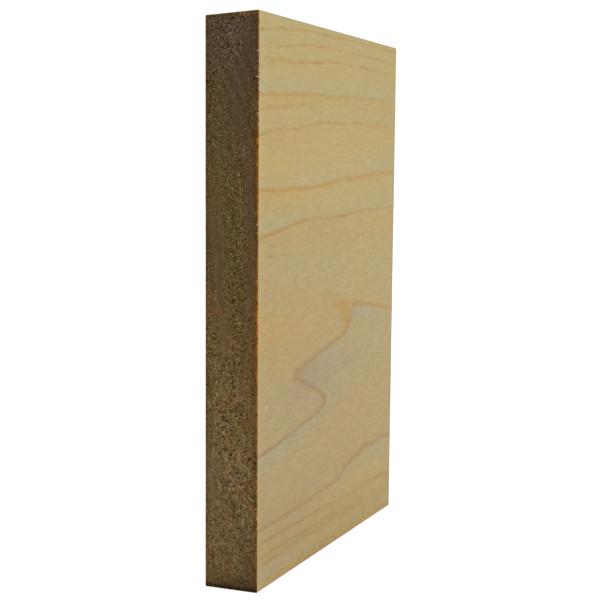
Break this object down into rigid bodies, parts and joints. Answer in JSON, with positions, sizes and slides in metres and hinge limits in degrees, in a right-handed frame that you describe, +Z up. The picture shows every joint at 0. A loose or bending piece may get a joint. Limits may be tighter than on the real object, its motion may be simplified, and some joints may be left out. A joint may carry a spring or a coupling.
{
  "type": "skirting board",
  "caption": "Short length of square-edged solid hardwood skirting board, planed smooth, with eased arrises and square-cut ends.",
  "frame": {"origin": "middle of the floor edge, which is the bottom of the board", "axes": "+X along the wall, +Y from the room into the wall, +Z up the wall; the show face looks towards -Y"},
  "size_m": [0.1, 0.014, 0.14],
  "materials": {
    "bare_wood": "planed smooth, unfinished, with saw-cut end grain"
  },
  "bodies": {
    "root": {"skirting_board": "bare_wood"}
  },
  "joints": []
}
